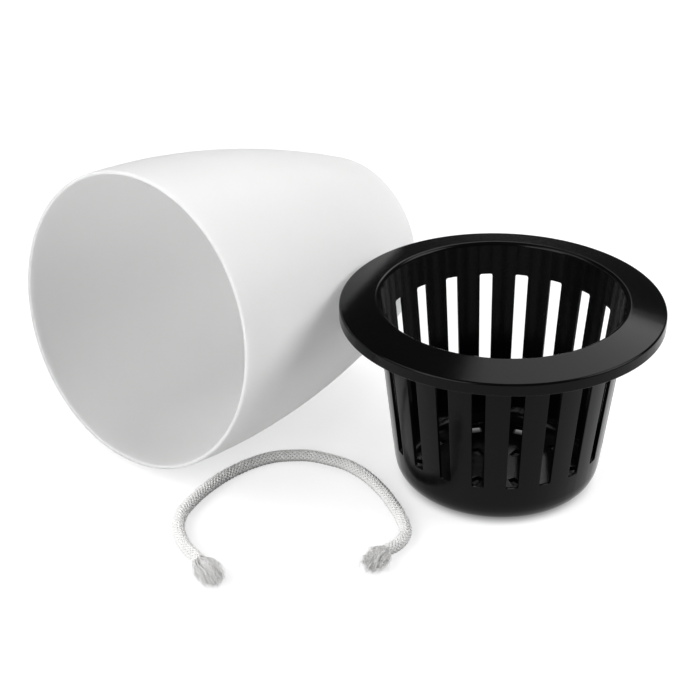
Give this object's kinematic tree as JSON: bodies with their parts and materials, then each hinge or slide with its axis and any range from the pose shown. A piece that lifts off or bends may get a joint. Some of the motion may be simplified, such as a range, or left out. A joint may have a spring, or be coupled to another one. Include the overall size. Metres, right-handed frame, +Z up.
{
  "type": "self-watering pot",
  "caption": "Self-watering plant pot laid apart: tapered white outer pot on its side, black slotted inner basket with a wide flange, and a braided cotton wick.",
  "frame": {"origin": "on the table, under the middle of the box around the outer pot and the inner basket as they lie", "axes": "+Z up, +X from the lying pot to the standing basket, -Y the way the pot's mouth faces"},
  "size_m": [0.2464, 0.2071, 0.1273],
  "materials": {
    "pot_plastic": "satin white moulded plastic",
    "basket_plastic": "satin black moulded plastic",
    "cotton": "undyed braided cotton"
  },
  "bodies": {
    "basket": {"inner_basket": "basket_plastic"},
    "pot": {"outer_pot": "pot_plastic"},
    "wick": {"wick_rope": "cotton", "wick_left_fray": "cotton", "wick_right_fray": "cotton"}
  },
  "joints": [
    {"name": "pot_draw", "type": "slide", "parent": "basket", "child": "pot", "axis": [0, -0.9932, 0.1167], "range_m": [0, 0.077]},
    {"name": "wick_draw", "type": "slide", "parent": "basket", "child": "wick", "axis": [0.6395, -0.7688, 0], "range_m": [0, 0.12]}
  ]
}
